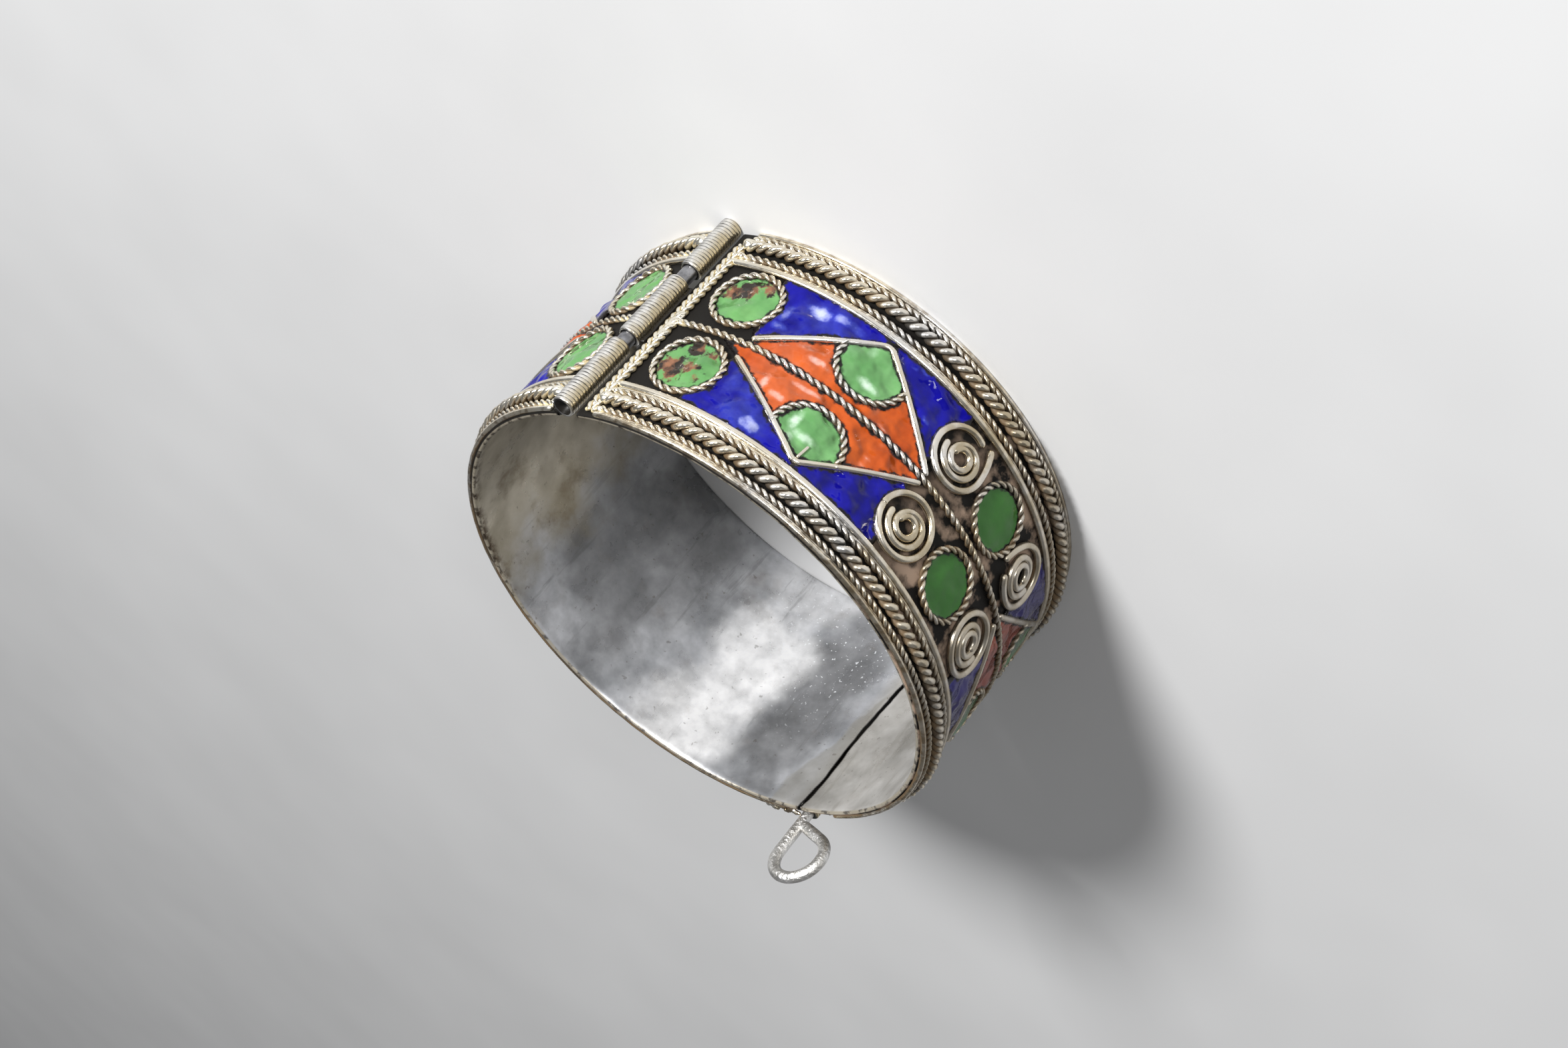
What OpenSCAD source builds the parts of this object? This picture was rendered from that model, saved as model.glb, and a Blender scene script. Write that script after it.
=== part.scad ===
// A hinged bracelet of silver sheet with soldered wirework and enamel fields.
// It lies on its side. +Z runs along the wrist, and the origin is the centre of the
// wrist opening in the plane that the bracelet rests on. The hinge is at -X and the
// clasp at +X. The front half is on the +Y side and the back half on the -Y side.

/* [Band] */
// Inner diameter of the closed bracelet
inner_dia = 62; // [61.5:0.1:62.5]
// Width of the band along the wrist
band_h = 32.4; // [32.2:0.1:32.8]
// Thickness of the silver sheet
sheet_t = 0.6; // [0.5:0.05:0.7]

/* [Wires] */
// Diameter of the plain wire along each rim
rim_d = 0.7; // [0.6:0.05:0.7]
// Diameter of the thin twisted wires and of the rings
thin_d = 0.9; // [0.8:0.05:0.9]
// Diameter of the thick twisted wire of each border
thick_d = 1.6; // [1.4:0.1:1.6]
// Diameter of the plain wire between border and enamel
strip_d = 0.8; // [0.7:0.05:0.8]
// Diameter of the plain wire of the rhombuses
rhombus_d = 0.8; // [0.7:0.05:0.8]
// Depth that the wires are sunk in the sheet by their solder
solder_sink = 0.08; // [0.06:0.01:0.1]
// Thickness of the solder that fills the bottom of the grooves between the border wires
solder_bed = 0.12; // [0.1:0.01:0.14]

/* [Ornament] */
// Outer diameter of the rings round the green discs
ring_d = 9; // [8.8:0.1:9]
// Outer diameter of the spirals
spiral_d = 8.2; // [8:0.1:8.2]
// Radius of the part rings inside each rhombus, to the middle of the wire
part_ring_r = 4.35; // [4.2:0.05:4.35]
// Height of the enamel above the sheet
enamel_h = 0.45; // [0.35:0.05:0.5]

/* [Hinge and clasp] */
// Outer diameter of the hinge barrels
barrel_d = 2.8; // [2.7:0.1:2.8]
// Bore of the hinge barrels
barrel_bore = 2; // [1.9:0.05:2]
// Outer diameter of the clasp knuckles
knuckle_d = 2.5; // [2.4:0.05:2.5]
// Bore of the clasp knuckles
knuckle_bore = 1.5; // [1.4:0.05:1.5]
// Radial clearance of the rod and the pin in their bores
running_gap = 0.05; // [0.03:0.01:0.08]
// Radius of the pull loop of the clasp pin, to the middle of the wire
loop_r = 3.3; // [3.1:0.1:3.4]

/* [Hidden] */
$fa = 3;
$fs = 0.12;

function numbered(name, count) = [for (i = [1 : count]) str(name, "_", i)];

// The band
r_in = inner_dia / 2;
r_out = r_in + sheet_t;
mid_z = band_h / 2;
// Radius at which lengths along the band are measured, at the height of the wires
ornament_r = r_out + 0.75;

// Each half: angle of its middle, stretch of its ornament along the band, and the
// angles where its sheet and its border wires begin and end
hinge_seam = asin(3.1 / 2 / r_in);
clasp_angle = 1;
clasp_seam = 0.27;
FRONT = 0;
BACK = 1;
mid_angle = [91.8, 270.5];
stretch = [1, 1.092];
sheet_from = [clasp_angle + clasp_seam, 180 + hinge_seam];
sheet_to = [180 - hinge_seam, 360 + clasp_angle - clasp_seam];
border_reach = [80.2, 85.2];

// Border wires from the rim inward: gap before the wire, diameter
border_rows = [[0, rim_d], [0.05, thin_d], [0.15, thick_d], [0.4, thin_d], [0.35, strip_d]];
function row_edge(i) = i == 0 ? 0 : row_edge(i - 1) + border_rows[i - 1][0] + border_rows[i - 1][1];
function row_centre(i) = row_edge(i) + border_rows[i][0] + border_rows[i][1] / 2;
// Height of the strip wires above and below the middle of the band
strip_up = mid_z - row_centre(4);

// Ornament, as distance along the band from the half's middle and height from mid-height.
// Each half has a rhombus on either side of its middle; each rhombus has an upper and a
// lower wire, bent once.
UPPER = 0;
LOWER = 1;
rhombus_middle = 23;
bend = [rhombus_middle, 9.7];
inner_tip = [11.03, 0.8];
outer_tip = [[35.7, 2.2], [35.7, 1.1]];
part_ring = [[23.5, 6.6], [22.9, 6]];
end_disc = [[39.9, 5.6], [39.9, 5.75]];
middle_disc_up = 5.4;
spiral_at = [9, 5.6];
// The pair of wires across each end of the front half
twin_along = [45.9, 46.72];
twin_z = [2.75, band_h - rim_d - 0.1];

// Rings and coils are flat and stand on a narrow foot of solder that follows the sheet
foot_share = 0.66;
foot_depth = 0.45;
coil_gap = 0.1;
coil_half_turns = 4;

enamel_lift = 0.03;
enamel_gap = 0.2;

// Hinge barrels: lower and upper end along the wrist axis
hinge_x = -(r_in + barrel_d / 2);
back_barrels = [[0, 8.3], [21.7, band_h]];
front_barrels = [[10.5, 20.2]];
rod_z = [0.5, band_h - 1.2];
// Clasp knuckles
clasp_r = r_out + 0.12 + knuckle_d / 2;
clasp_x = clasp_r * cos(clasp_angle);
clasp_y = clasp_r * sin(clasp_angle);
front_knuckles = [[1, 10.5], [21.5, 31.3]];
back_knuckles = [[11, 21]];
pin_d = knuckle_bore - 2 * running_gap;
pin_foot_z = 1.2;
loop_z = band_h + 5.6;
// Where the end of the pin's wire meets the shank again, from the middle of the loop
loop_end = [-loop_r + 0.95, -4.4];

function arc_angle(half, along) = along * stretch[half] / ornament_r * 180 / PI;
function flat_along(half, along) =
    ornament_r * sin(arc_angle(half, along - rhombus_middle));
function left_of(v) = [-v[1], v[0]] / norm(v);
// Corner b of the path a, b, c, moved to the left of both sides by d
function inset_corner(a, b, c, d) =
    let (n1 = left_of(b - a), n2 = left_of(c - b)) b + d * (n1 + n2) / (1 + n1 * n2);
function inset(points, d) = let (n = len(points)) [
    for (i = [0 : n - 1]) inset_corner(points[(i + n - 1) % n], points[i], points[(i + 1) % n], d)
];
// Distance along the band at which the line through p and q has height up
function along_at(p, q, up) = p[0] + (up - p[1]) * (q[0] - p[0]) / (q[1] - p[1]);

// Puts children, drawn as seen from outside with Z away from the sheet, on the band
module on_band(half, along, up) {
    rotate([0, 0, mid_angle[half] + arc_angle(half, along)])
        translate([r_out, 0, mid_z + up])
            rotate([90, 0, 90]) children();
}

// Repeats children in the four quarters of a half, side and level being 1 or -1
module at_quarters(half) {
    for (side = [1, -1], row = [UPPER, LOWER]) {
        $side = side;
        $row = row;
        $level = row == UPPER ? 1 : -1;
        children();
    }
}

module band_sheet(half) {
    rotate([0, 0, sheet_from[half]])
        rotate_extrude(angle = sheet_to[half] - sheet_from[half])
            translate([r_in, 0]) square([sheet_t, band_h]);
}

module wire_section(d, z) {
    translate([r_out + d / 2 - solder_sink, z]) circle(d = d);
}

module border_wires(half) {
    rotate([0, 0, mid_angle[half] - border_reach[half]])
        rotate_extrude(angle = 2 * border_reach[half]) {
            for (i = [0 : len(border_rows) - 1]) {
                wire_section(border_rows[i][1], row_centre(i));
                wire_section(border_rows[i][1], band_h - row_centre(i));
            }
            wire_section(thin_d, mid_z);
            for (z = [row_centre(0), band_h - row_centre(4)])
                translate([r_out - solder_sink, z])
                    square([solder_sink + solder_bed, row_centre(4) - row_centre(0)]);
        }
}

module ring_arc(r, d, from = 0, angle = 360) {
    foot_w = foot_share * d;
    wire_up = d / 2 - solder_sink;
    rotate([0, 0, from])
        rotate_extrude(angle = angle) translate([r, 0]) {
            translate([0, wire_up]) circle(d = d);
            translate([-foot_w / 2, -foot_depth]) square([foot_w, foot_depth + wire_up]);
        }
}

// A closed ring with a coil of half circles inside, drawn from two centres
module spiral() {
    ring_arc((spiral_d - thin_d) / 2, thin_d);
    pitch = thin_d + coil_gap;
    outer_r = spiral_d / 2 - thin_d - 0.35 - thin_d / 2;
    for (k = [0 : coil_half_turns - 1])
        translate([k % 2 == 0 ? 0 : -pitch / 2, 0, 0])
            ring_arc(outer_r - k * pitch / 2, thin_d, 180 * k, 180);
}

// A plain wire laid on the band from p to q, along the plane section through both
module laid_wire(half, p, q, d) {
    r = r_out + d / 2 - solder_sink;
    half_angle = arc_angle(half, q[0] - p[0]) / 2;
    across = r * sin(half_angle);
    slope = atan2((q[1] - p[1]) / 2, across);
    bend_r = r / pow(cos(slope), 2);
    sweep = asin(across / cos(slope) / bend_r);
    rotate([0, 0, mid_angle[half] + arc_angle(half, (p[0] + q[0]) / 2)])
        translate([r, 0, mid_z + (p[1] + q[1]) / 2])
            rotate([slope, 0, 0])
                translate([-bend_r, 0, 0])
                    rotate([0, 0, -sweep])
                        rotate_extrude(angle = 2 * sweep) translate([bend_r, 0]) circle(d = d);
}

module rhombus_wires(half) {
    at_quarters(half) {
        p = [$side * inner_tip[0], $level * inner_tip[1]];
        q = [$side * bend[0], $level * bend[1]];
        s = [$side * outer_tip[$row][0], $level * outer_tip[$row][1]];
        if ($side > 0) {
            laid_wire(half, p, q, rhombus_d);
            laid_wire(half, q, s, rhombus_d);
        } else {
            laid_wire(half, q, p, rhombus_d);
            laid_wire(half, s, q, rhombus_d);
        }
        on_band(half, q[0], q[1])
            translate([0, 0, rhombus_d / 2 - solder_sink]) sphere(d = 1.15 * rhombus_d);
    }
}

// Angle, seen from c, half way between the two points where the line p-q crosses the
// circle of radius r round c, and the angle from there to either point
function crossing(c, r, p, q) =
    let (n = left_of(q - p), d = (p - c) * n) [atan2(n[1], n[0]) + (d < 0 ? 180 : 0), acos(abs(d) / r)];

module part_rings(half) {
    for (row = [UPPER, LOWER]) {
        c = part_ring[row];
        to_inner = crossing(c, part_ring_r, inner_tip, bend);
        to_outer = crossing(c, part_ring_r, bend, outer_tip[row]);
        from = to_inner[0] + to_inner[1];
        to = to_outer[0] - to_outer[1] + 360;
        for (side = [1, -1])
            on_band(half, side * c[0], row == UPPER ? c[1] : -c[1])
                mirror([side > 0 ? 0 : 1, 0, 0])
                    mirror([0, row == UPPER ? 0 : 1, 0])
                        ring_arc(part_ring_r, thin_d, from, to - from);
    }
}

module round_ornaments(half) {
    at_quarters(half) {
        on_band(half, $side * end_disc[$row][0], $level * end_disc[$row][1])
            ring_arc((ring_d - thin_d) / 2, thin_d);
        on_band(half, $side * spiral_at[0], $level * spiral_at[1])
            mirror([$side > 0 ? 0 : 1, 0, 0]) spiral();
    }
    for (level = [1, -1])
        on_band(half, 0, level * middle_disc_up) ring_arc((ring_d - thin_d) / 2, thin_d);
}

module twin_wires() {
    for (side = [1, -1], along = twin_along)
        on_band(FRONT, side * along, -mid_z + twin_z[0])
            translate([0, 0, thin_d / 2 - solder_sink])
                rotate([-90, 0, 0]) cylinder(d = thin_d, h = twin_z[1] - twin_z[0]);
}

// Tubes round an axis parallel to Z, each with a web that joins it to the sheet
module tubes(centre, spans, outer_d, bore, web_low, web_high) {
    for (span = spans)
        translate([0, 0, span[0]])
            difference() {
                union() {
                    translate(centre) cylinder(d = outer_d, h = span[1] - span[0]);
                    translate(web_low)
                        cube([web_high[0] - web_low[0], web_high[1] - web_low[1], span[1] - span[0]]);
                }
                translate([centre[0], centre[1], -1])
                    cylinder(d = bore, h = span[1] - span[0] + 2);
            }
}

// side is 1 for the front half and -1 for the back half
module hinge_barrels(spans, side) {
    web_y = [barrel_d * 0.375, barrel_d * 0.68];
    tubes([hinge_x, 0], spans, barrel_d, barrel_bore,
        [hinge_x + 0.45, side > 0 ? web_y[0] : -web_y[1]],
        [-r_in, side > 0 ? web_y[1] : -web_y[0]]);
}

module clasp_knuckles(spans, side) {
    web_y = [knuckle_d * 0.34, knuckle_d * 0.7];
    tubes([clasp_x, clasp_y], spans, knuckle_d, knuckle_bore,
        [r_out - 0.15, clasp_y + (side > 0 ? web_y[0] : -web_y[1])],
        [clasp_x - 0.06, clasp_y + (side > 0 ? web_y[1] : -web_y[0])]);
}

module silver_half(half) {
    color("silver") {
        band_sheet(half);
        border_wires(half);
        rhombus_wires(half);
        part_rings(half);
        round_ornaments(half);
    }
}

module front_half() {
    silver_half(FRONT);
    color("silver") {
        twin_wires();
        hinge_barrels(front_barrels, 1);
        clasp_knuckles(front_knuckles, 1);
    }
}

module back_half() {
    silver_half(BACK);
    color("silver") {
        hinge_barrels(back_barrels, -1);
        clasp_knuckles(back_knuckles, -1);
    }
}

module hinge_rod() {
    color("dimgray") translate([hinge_x, 0, rod_z[0]])
        cylinder(d = barrel_bore - 2 * running_gap, h = rod_z[1] - rod_z[0]);
}

// One wire: a straight shank, an arc, and a straight end that comes back to the shank,
// with a slight swelling at both ends of the arc
module clasp_pin() {
    tangent_from = atan2(loop_end[1], loop_end[0]) + acos(loop_r / norm(loop_end));
    tangent_at = loop_r * [cos(tangent_from), sin(tangent_from)];
    tail = loop_end - tangent_at;
    swelling_d = 1.06 * pin_d;
    color("silver") {
        translate([clasp_x, clasp_y, pin_foot_z]) cylinder(d = pin_d, h = loop_z - pin_foot_z);
        translate([clasp_x, clasp_y + loop_r, loop_z]) rotate([90, 0, 90]) {
            rotate([0, 0, tangent_from])
                rotate_extrude(angle = 180 - tangent_from) translate([loop_r, 0]) circle(d = pin_d);
            translate([-loop_r, 0, 0]) sphere(d = swelling_d);
            translate(tangent_at) {
                sphere(d = swelling_d);
                rotate([0, 0, atan2(tail[1], tail[0])])
                    rotate([0, 90, 0]) cylinder(d = pin_d, h = norm(tail));
            }
        }
    }
}

module enamel_shell() {
    difference() {
        cylinder(r = r_out + enamel_h, h = band_h);
        translate([0, 0, -1]) cylinder(r = r_out + enamel_lift, h = band_h + 2);
    }
}

// The part of the enamel shell under an outline drawn on the band at a place
module enamel_at(half, along, up) {
    intersection() {
        enamel_shell();
        on_band(half, along, up) translate([0, 0, -4]) linear_extrude(6) children();
    }
}

module round_enamel(half, along, up) {
    color("mediumseagreen") enamel_at(half, along, up) circle(r = ring_d / 2 - thin_d - 0.1);
}

// Discs 1 and 2 are at one end, 3 and 4 in the middle, 5 and 6 at the other end
module green_disc(half, i) {
    row = i % 2 == 1 ? UPPER : LOWER;
    level = row == UPPER ? 1 : -1;
    if (i == 3 || i == 4) round_enamel(half, 0, level * middle_disc_up);
    else round_enamel(half, (i < 3 ? 1 : -1) * end_disc[row][0], level * end_disc[row][1]);
}

// Outline of one row's half of a rhombus, drawn from the middles of the wires round it
function rhombus_outline(row) = [
    [along_at(inner_tip, bend, 0), 0],
    [along_at(bend, outer_tip[row], 0), 0],
    bend
];

module rhombus_field(half, row) {
    points = inset(rhombus_outline(row), rhombus_d / 2 + enamel_gap);
    enamel_at(half, rhombus_middle, 0)
        polygon([for (p = points) [flat_along(half, p[0]), p[1]]]);
}

// Draws children, made for the upper row of the hinge side, in the quarter they belong to
module quarter(half, side, row) {
    rotate([0, 0, mid_angle[half]])
        mirror([0, side > 0 ? 0 : 1, 0])
            translate([0, 0, mid_z]) mirror([0, 0, row == UPPER ? 0 : 1]) translate([0, 0, -mid_z])
                rotate([0, 0, -mid_angle[half]]) children();
}

module round_cut(half, place, d) {
    on_band(half, place[0], place[1]) translate([0, 0, -3]) cylinder(d = d, h = 6);
}

module green_cell(half, side, row) {
    color("lightgreen") quarter(half, side, row)
        intersection() {
            rhombus_field(half, row);
            round_cut(half, part_ring[row], 2 * part_ring_r - thin_d - enamel_gap);
        }
}

module orange_field(half, side) {
    color("orangered") for (row = [UPPER, LOWER])
        quarter(half, side, row)
            difference() {
                rhombus_field(half, row);
                round_cut(half, part_ring[row], 2 * part_ring_r + thin_d + 2 * enamel_gap);
            }
}

// Outlines of the corner fields between a rhombus wire and the strip wire, towards the
// end disc and towards the spiral
function end_corner(row) = [
    [along_at(bend, outer_tip[row], strip_up), strip_up],
    outer_tip[row] + [0.3, -0.18],
    [38, 5],
    [38, strip_up]
];
function spiral_corner() = [
    [12, inner_tip[1] + (12 - inner_tip[0]) * (bend[1] - inner_tip[1]) / (bend[0] - inner_tip[0])],
    [along_at(inner_tip, bend, strip_up), strip_up],
    [10.5, strip_up],
    [10.5, 3.5]
];

module corner_field(half, outline, hole, hole_d) {
    points = inset(outline, rhombus_d / 2 + enamel_gap);
    difference() {
        enamel_at(half, rhombus_middle, 0)
            polygon([for (p = points) [flat_along(half, p[0]), p[1]]]);
        round_cut(half, hole, hole_d + 2 * enamel_gap);
    }
}

module blue_fields(half, side) {
    color("mediumblue") for (row = [UPPER, LOWER])
        quarter(half, side, row) {
            corner_field(half, end_corner(row), end_disc[row], ring_d);
            corner_field(half, spiral_corner(), spiral_at, spiral_d);
        }
}

front_half();
back_half();
hinge_rod();
clasp_pin();
for (half = [FRONT, BACK]) {
    side_name = half == FRONT ? "front" : "back";
    for (i = [1 : 6])
        green_disc(half, i);
    for (i = [1 : 4])
        green_cell(half, i < 3 ? 1 : -1, i % 2 == 1 ? UPPER : LOWER);
    for (i = [1 : 2])
        orange_field(half, i == 1 ? 1 : -1);
    for (i = [1 : 2])
        blue_fields(half, i == 1 ? 1 : -1);
}
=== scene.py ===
import math
from collections import namedtuple
from functools import cached_property

import bpy
import numpy as np
from mathutils import Matrix, Vector


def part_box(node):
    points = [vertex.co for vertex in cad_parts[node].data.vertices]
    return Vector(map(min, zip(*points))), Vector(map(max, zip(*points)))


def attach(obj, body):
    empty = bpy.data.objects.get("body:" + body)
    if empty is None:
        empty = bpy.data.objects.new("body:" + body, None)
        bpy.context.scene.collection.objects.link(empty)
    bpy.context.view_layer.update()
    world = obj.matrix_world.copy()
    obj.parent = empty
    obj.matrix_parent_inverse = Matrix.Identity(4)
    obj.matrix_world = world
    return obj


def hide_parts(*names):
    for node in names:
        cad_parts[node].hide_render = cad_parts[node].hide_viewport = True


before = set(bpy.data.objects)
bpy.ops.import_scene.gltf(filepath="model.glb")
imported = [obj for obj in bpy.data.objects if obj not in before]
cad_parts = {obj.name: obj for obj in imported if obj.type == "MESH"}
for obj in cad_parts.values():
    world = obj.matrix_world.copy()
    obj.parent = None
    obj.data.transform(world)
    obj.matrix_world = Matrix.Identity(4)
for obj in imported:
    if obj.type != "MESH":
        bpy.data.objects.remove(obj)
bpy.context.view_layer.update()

# Lengths in this script are in millimetres, and MM turns them into metres.
MM = 0.001
TAU = 2 * math.pi

# The band, as in the solids: silver sheet, wires soldered on it, and enamel between them
sheet_low, sheet_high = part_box("front_half")
BAND_H = (sheet_high.z - sheet_low.z) / MM
MID_Z = BAND_H / 2
R_IN = 31.0
SHEET_T = 0.6
R_OUT = R_IN + SHEET_T
ORNAMENT_R = R_OUT + 0.75
SINK = 0.08

# Wires
RIM_D = 0.7
THIN_D = 0.9
THICK_D = 1.6
STRIP_D = 0.8
RHOMBUS_D = 0.8
THIN_LEAD = 2.2
THICK_LEAD = 2.74
RIGHT_HANDED = 1
LEFT_HANDED = -1

# Border wires from the rim inward: gap before the wire, diameter, lead of its twist, hand
BORDER_ROWS = (
    (0.0, RIM_D, None, None),
    (0.05, THIN_D, 2.12, RIGHT_HANDED),
    (0.15, THICK_D, THICK_LEAD, LEFT_HANDED),
    (0.4, THIN_D, 2.26, RIGHT_HANDED),
    (0.35, STRIP_D, None, None),
)

# Ornament lies above and below mid-height, and on both sides of a half's middle.
UPPER = 1
LOWER = -1
LEVELS = (UPPER, LOWER)
SIDES = (1, -1)

# Ornament of a half, along the band from its middle and up from mid-height
END_DISC_AT = {UPPER: (39.9, 5.6), LOWER: (39.9, 5.75)}
MIDDLE_DISC_UP = 5.4
SPIRAL_AT = (9.0, 5.6)
RING_R = 4.05
SPIRAL_R = 3.65
RHOMBUS_BEND = (23.0, 9.7)
RHOMBUS_BEND_R = 1.2
RHOMBUS_INNER = (11.03, 0.8)
RHOMBUS_OUTER = {UPPER: (35.7, 2.2), LOWER: (35.7, 1.1)}
PART_RING_AT = {UPPER: (23.5, 6.6), LOWER: (22.9, 6.0)}
PART_RING_R = 4.35
TWIN_ALONG = (45.9, 46.72)
TWIN_Z = (2.75, 31.6)

# Hinge and clasp
HINGE_X = -32.4
BARREL_D = 2.8
BARREL_BORE = 2.0
CLASP_AT = (32.965, 0.575)
KNUCKLE_D = 2.5
KNUCKLE_BORE = 1.5
PIN_D = 1.4
PIN_FOOT_Z = 1.2
LOOP_R = 3.3
LOOP_Z = BAND_H + 5.6
LOOP_END = (-2.35, -4.4)


def points_at(x, y, z):
    """Points from coordinates that are broadcast together."""
    return np.stack(np.broadcast_arrays(x, y, z), axis=-1)


def round_axis(radius, angle, z):
    """Points at radii and angles round the wrist's axis, and at heights."""
    return points_at(radius * np.cos(angle), radius * np.sin(angle), z)


class Half:
    """One half of the bracelet and where its sheet and ornament lie round the wrist."""

    def __init__(self, name, middle, stretch, reach, hinge_side):
        self.name = name
        self.node = name + "_half"
        self.middle = math.radians(middle)
        self.stretch = stretch
        self.reach = math.radians(reach)
        self.hinge_side = hinge_side

    def on_band(self, along, up):
        """A place of the ornament as true distances from the middle of the half's band."""
        return np.array([along * self.stretch, up])

    def place(self, along, up, height):
        """Points at true distances along and up the band, at a height over the sheet."""
        angle = self.middle + np.asarray(along, float) / ORNAMENT_R
        radius = R_OUT + np.asarray(height, float)
        return round_axis(radius, angle, MID_Z + np.asarray(up, float))


FRONT = Half("front", 91.8, 1.0, 80.2, 1)
BACK = Half("back", 270.5, 1.092, 85.2, -1)


class Shape:
    """Closed forms gathered into one mesh, with a value kept at each point."""

    def __init__(self):
        self.points = []
        self.faces = []
        self.values = []
        self.total = 0

    def add(self, points, *faces, value=1.0):
        points = np.asarray(points, float).reshape(-1, 3)
        self.points.append(points)
        self.values.append(np.broadcast_to(np.asarray(value, float), (len(points),)))
        for group in faces:
            self.faces.extend((group + self.total).tolist())
        self.total += len(points)


def unit(vectors):
    return vectors / np.linalg.norm(vectors, axis=-1, keepdims=True)


def radial(points):
    """Directions away from the wrist's axis at points."""
    away = np.array(points, float)
    away[..., 2] = 0
    return unit(away)


def ripple(points, wavelength, seed, waves=7):
    """Smooth irregular values, mostly between -1 and 1, at points."""
    draws = np.random.default_rng(seed)
    directions = unit(draws.normal(size=(waves, 3)))
    phases = draws.uniform(0, TAU, waves)
    lengths = wavelength * draws.uniform(0.7, 1.5, waves)
    total = 0
    for direction, phase, length in zip(directions, phases, lengths):
        total = total + np.sin(points @ direction * TAU / length + phase)
    return total / math.sqrt(waves)


def grid_faces(rows, columns, wrap_rows=False, wrap_columns=False):
    """Four-sided faces between the points of a grid."""
    i = np.arange(rows if wrap_rows else rows - 1)[:, None]
    j = np.arange(columns if wrap_columns else columns - 1)[None, :]
    next_i = (i + 1) % rows
    next_j = (j + 1) % columns
    corners = np.broadcast_arrays(
        i * columns + j, i * columns + next_j, next_i * columns + next_j, next_i * columns + j
    )
    return np.stack(corners, axis=-1).reshape(-1, 4)


def cap_faces(first, count, centre, facing_back):
    """A fan from the point numbered centre to a ring of points."""
    a = first + np.arange(count)
    b = first + (np.arange(count) + 1) % count
    middle = np.full(count, centre)
    return np.stack([middle, b, a] if facing_back else [middle, a, b], axis=-1)


def add_capped(shape, points, ends, columns, value=1.0):
    """Adds rings of points, closed by a fan to one of the two ends each."""
    count = len(points)
    walls = grid_faces(count // columns, columns, False, True)
    start = cap_faces(0, columns, count, True)
    end = cap_faces(count - columns, columns, count + 1, False)
    shape.add(np.concatenate([points, ends]), walls, start, end, value=value)


def rounded_ends(path, radius):
    """The path and its radii with a dome added at both ends."""
    radius = np.array(np.broadcast_to(radius, len(path)), float)
    first = unit(path[0] - path[1])
    last = unit(path[-1] - path[-2])
    bends = np.radians([80, 55, 28])
    before = [path[0] + first * radius[0] * math.sin(b) for b in bends]
    after = [path[-1] + last * radius[-1] * math.sin(b) for b in bends[::-1]]
    full = np.concatenate([before, path, after])
    thin = np.cos(bends)
    radii = np.concatenate([thin * radius[0], radius, thin[::-1] * radius[-1]])
    return full, radii


def longer(rows):
    """Rows with the first and the last repeated for the rings of the domes."""
    return np.concatenate([rows[:1]] * 3 + [rows] + [rows[-1:]] * 3)


def across_wire(path, outward, closed):
    """Directions across a wire, along the sheet and away from it."""
    if closed:
        tangent = unit(np.roll(path, -1, axis=0) - np.roll(path, 1, axis=0))
    else:
        tangent = unit(np.gradient(path, axis=0))
    side = unit(np.cross(outward, tangent))
    return side, np.cross(tangent, side)


def sweep(
    shape, path, outward, radius, sides, closed=False, core=None, up=None, core_radius=1.0, flat=1.0
):
    """Adds a wire along a path. outward points away from what the wire lies on.

    flat is the wire's width over its height.

    core is the middle line of the rope that the wire is a strand of, and up points away from
    the sheet there. Each point keeps how far it stands out of the rope, both from its core and
    upward, where 1 is the rope's top. A wire on its own keeps 1.
    """
    path = np.asarray(path, float)
    outward = np.broadcast_to(outward, path.shape)
    if not closed:
        path, radius = rounded_ends(path, radius)
        outward = longer(outward)
        if core is not None:
            core = longer(core)
            up = longer(up)
    radius = np.broadcast_to(radius, len(path))[:, None, None]
    side, top = across_wire(path, outward, closed)
    turn = (np.arange(sides) * TAU / sides)[None, :, None]
    ring = flat * np.cos(turn) * side[:, None] + np.sin(turn) * top[:, None]
    points = path[:, None] + radius * ring
    values = np.ones(points.shape[:2])
    if core is not None:
        away = points - core[:, None]
        raised = (away * up[:, None]).sum(axis=-1)
        values = (np.linalg.norm(away, axis=-1) + raised) / (2 * core_radius)
    points = points.reshape(-1, 3)
    values = values.reshape(-1)
    if closed:
        shape.add(points, grid_faces(len(path), sides, True, True), value=values)
    else:
        add_capped(shape, points, path[[0, -1]], sides, np.concatenate([values, [1, 1]]))


def evenly(path, count, closed=False):
    """The path with count points at even distances, and its length."""
    path = np.asarray(path, float)
    if closed:
        path = np.concatenate([path, path[:1]])
    steps = np.linalg.norm(np.diff(path, axis=0), axis=1)
    length = np.concatenate([[0], np.cumsum(steps)])
    at = np.linspace(0, length[-1], count + 1 if closed else count)
    points = np.stack([np.interp(at, length, path[:, k]) for k in range(3)], axis=-1)
    return (points[:-1] if closed else points), length[-1]


# Strands are a little thicker than half of the wire and lie a little closer to its middle
STRAND_SHARE = 0.265
STRAND_OFFSET = 0.235
RINGS_PER_LEAD = 12


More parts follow.
